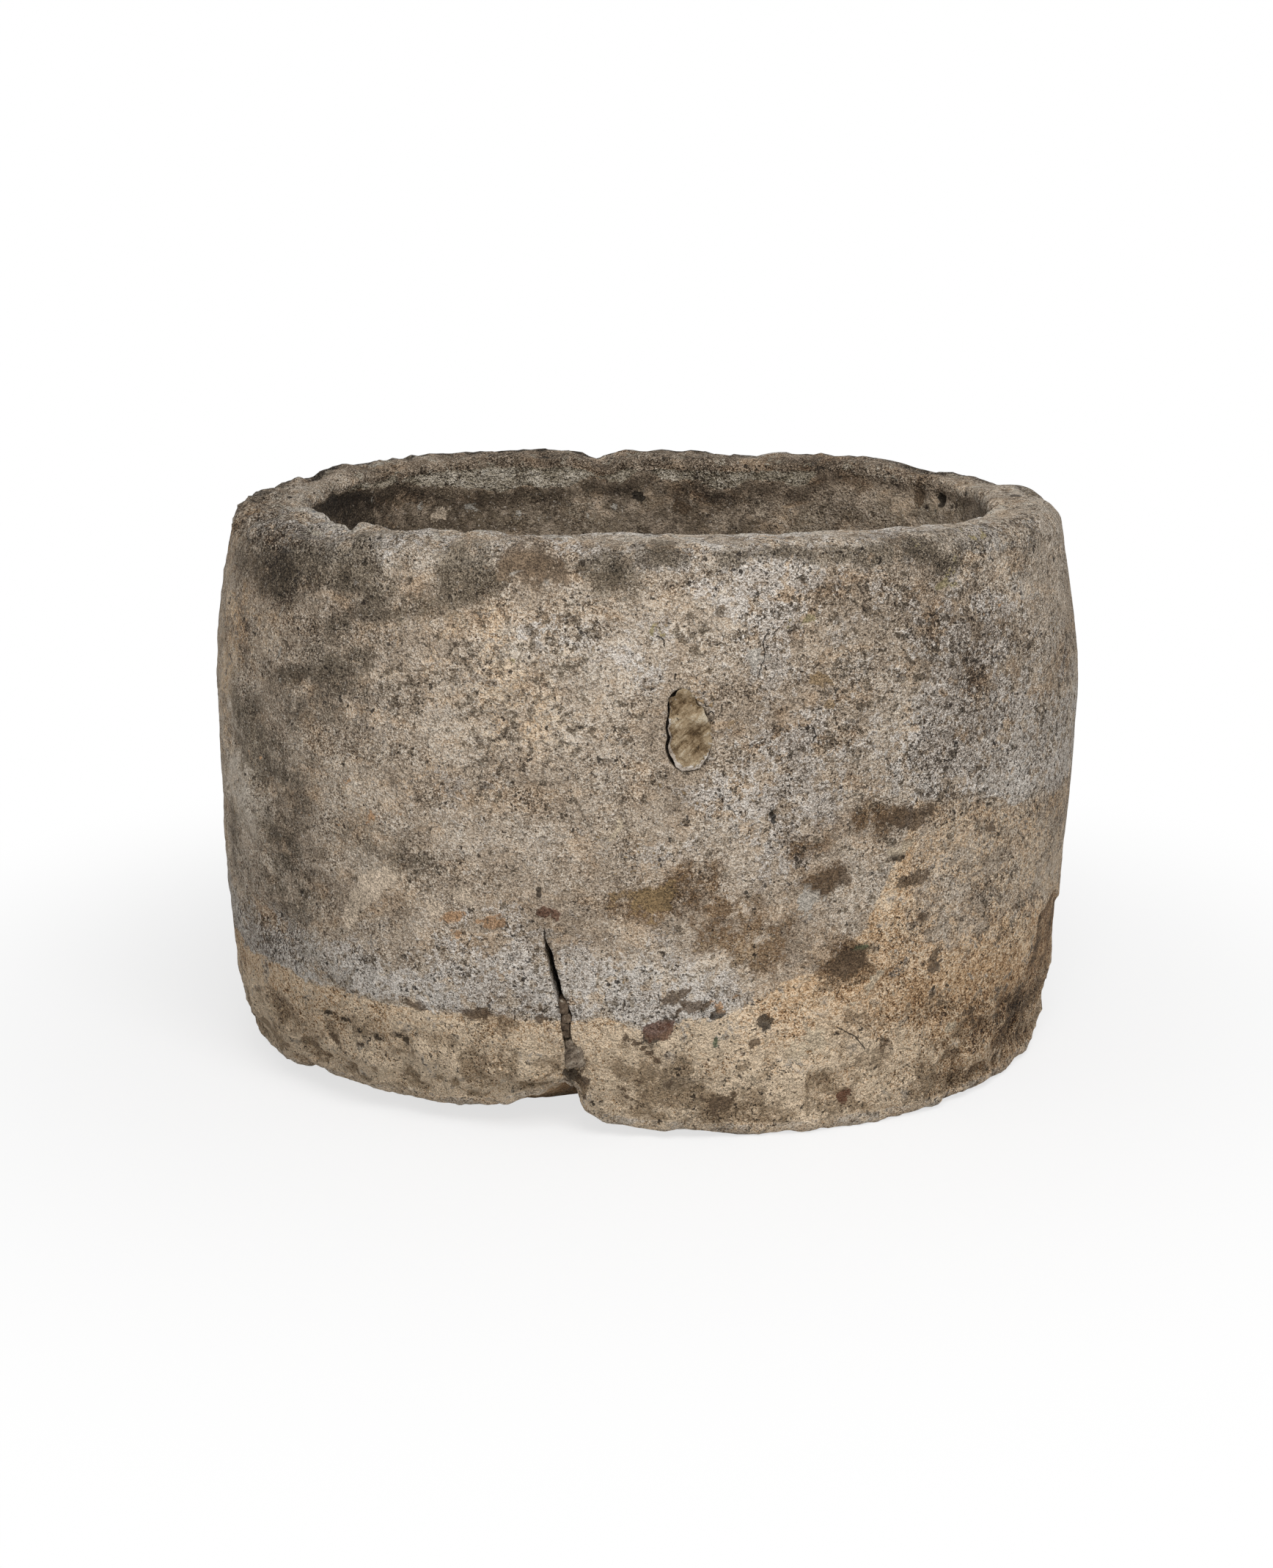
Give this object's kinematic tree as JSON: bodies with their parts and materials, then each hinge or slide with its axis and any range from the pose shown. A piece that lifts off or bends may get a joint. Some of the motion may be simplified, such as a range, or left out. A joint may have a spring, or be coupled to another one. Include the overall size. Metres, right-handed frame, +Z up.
{
  "type": "limestone trough",
  "caption": "Oval stone trough with bellied sides, a worn rim and a deep open basin, with mortar in an old hole and in a crack at the foot.",
  "frame": {"origin": "middle of the rest face under the block, on the surface it stands on", "axes": "+X along the length to the right end, +Y from the front to the back, +Z up out of the basin"},
  "size_m": [0.999, 0.7402, 0.654],
  "materials": {
    "limestone": "weathered and rough, with lichen and lime bloom",
    "plug_mortar": "smoothed lime mortar",
    "crack_mortar": "rough grey mortar",
    "chip_stone": "dark rough stone"
  },
  "bodies": {
    "root": {"stone_trough": "limestone", "hole_plug": "plug_mortar", "crack_mortar": "crack_mortar", "crack_chip_1": "chip_stone", "crack_chip_2": "chip_stone", "crack_chip_3": "chip_stone", "crack_chip_4": "chip_stone"}
  },
  "joints": []
}
